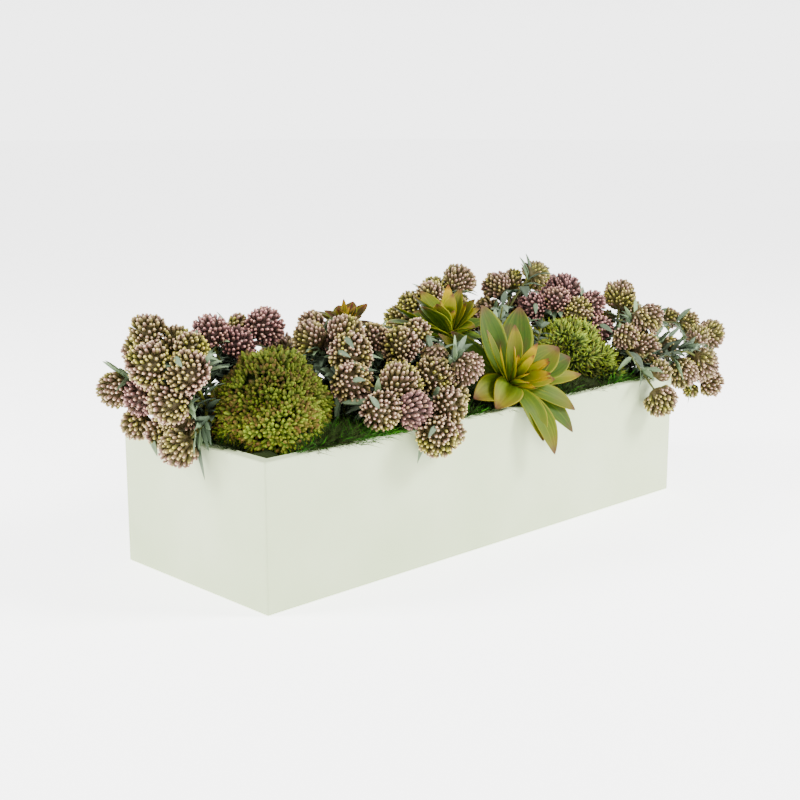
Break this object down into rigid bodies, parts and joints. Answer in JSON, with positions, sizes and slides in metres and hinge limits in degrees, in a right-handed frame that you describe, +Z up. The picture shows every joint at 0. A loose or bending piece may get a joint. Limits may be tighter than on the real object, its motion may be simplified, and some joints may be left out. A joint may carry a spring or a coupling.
{
  "type": "succulent dish garden",
  "caption": "Long rectangular planter densely planted with sedum flower heads, mossy stonecrop cushions and large-leaved rosettes that spill over its rim.",
  "frame": {"origin": "centre of the planter's flat underside", "axes": "+X along the planter's length, -Y out of its front face, +Z up"},
  "size_m": [0.7878, 0.2797, 0.2689],
  "materials": {
    "sage_paint": "matt, pale sage white",
    "floral_foam": "open, dull green foam",
    "moss": "dull fibrous green",
    "stonecrop": "matt green with red-brown tips",
    "rosette_leaf": "satin green, yellow and red at the edges",
    "sedum_stem": "matt grey green",
    "pink_buds": "matt, olive with dusty pink tips",
    "mauve_buds": "matt, dusky mauve",
    "lime_buds": "matt, yellow green"
  },
  "bodies": {
    "root": {"planter": "sage_paint", "foam_bed": "floral_foam", "moss_bed": "moss", "stonecrop_cushion_left": "stonecrop", "stonecrop_cushion_right": "stonecrop", "rosette_front": "rosette_leaf", "rosette_middle": "rosette_leaf", "rosette_back": "rosette_leaf", "sedum_left_front_flowers_1": "pink_buds", "sedum_left_end_flowers_1": "pink_buds", "sedum_left_end_flowers_2": "pink_buds", "sedum_left_end_flowers_3": "pink_buds", "sedum_left_rear_flowers_1": "mauve_buds", "sedum_middle_left_flowers_1": "pink_buds", "sedum_middle_left_flowers_2": "pink_buds", "sedum_middle_front_flowers_1": "pink_buds", "sedum_middle_front_flowers_2": "pink_buds", "sedum_middle_right_flowers_1": "pink_buds", "sedum_middle_back_flowers_1": "pink_buds", "sedum_middle_back_flowers_2": "pink_buds", "sedum_middle_back_flowers_3": "pink_buds", "sedum_back_left_flowers_1": "lime_buds", "sedum_back_left_flowers_2": "lime_buds", "sedum_back_left_flowers_3": "lime_buds", "sedum_back_middle_flowers_1": "pink_buds", "sedum_back_middle_flowers_2": "pink_buds", "sedum_back_right_flowers_1": "mauve_buds", "sedum_right_front_flowers_1": "pink_buds", "sedum_right_front_flowers_2": "pink_buds", "sedum_right_front_flowers_3": "pink_buds", "sedum_right_end_flowers_1": "pink_buds", "sedum_right_end_flowers_2": "pink_buds", "sedum_right_end_flowers_3": "pink_buds", "sedum_right_end_flowers_4": "pink_buds", "sedum_right_end_flowers_5": "pink_buds", "sedum_right_low_flowers_1": "pink_buds", "sedum_left_front_stems": "sedum_stem", "sedum_left_end_stems": "sedum_stem", "sedum_left_rear_stems": "sedum_stem", "sedum_middle_left_stems": "sedum_stem", "sedum_middle_front_stems": "sedum_stem", "sedum_middle_right_stems": "sedum_stem", "sedum_middle_back_stems": "sedum_stem", "sedum_back_left_stems": "sedum_stem", "sedum_back_middle_stems": "sedum_stem", "sedum_back_right_stems": "sedum_stem", "sedum_right_front_stems": "sedum_stem", "sedum_right_end_stems": "sedum_stem", "sedum_right_low_stems": "sedum_stem"}
  },
  "joints": []
}
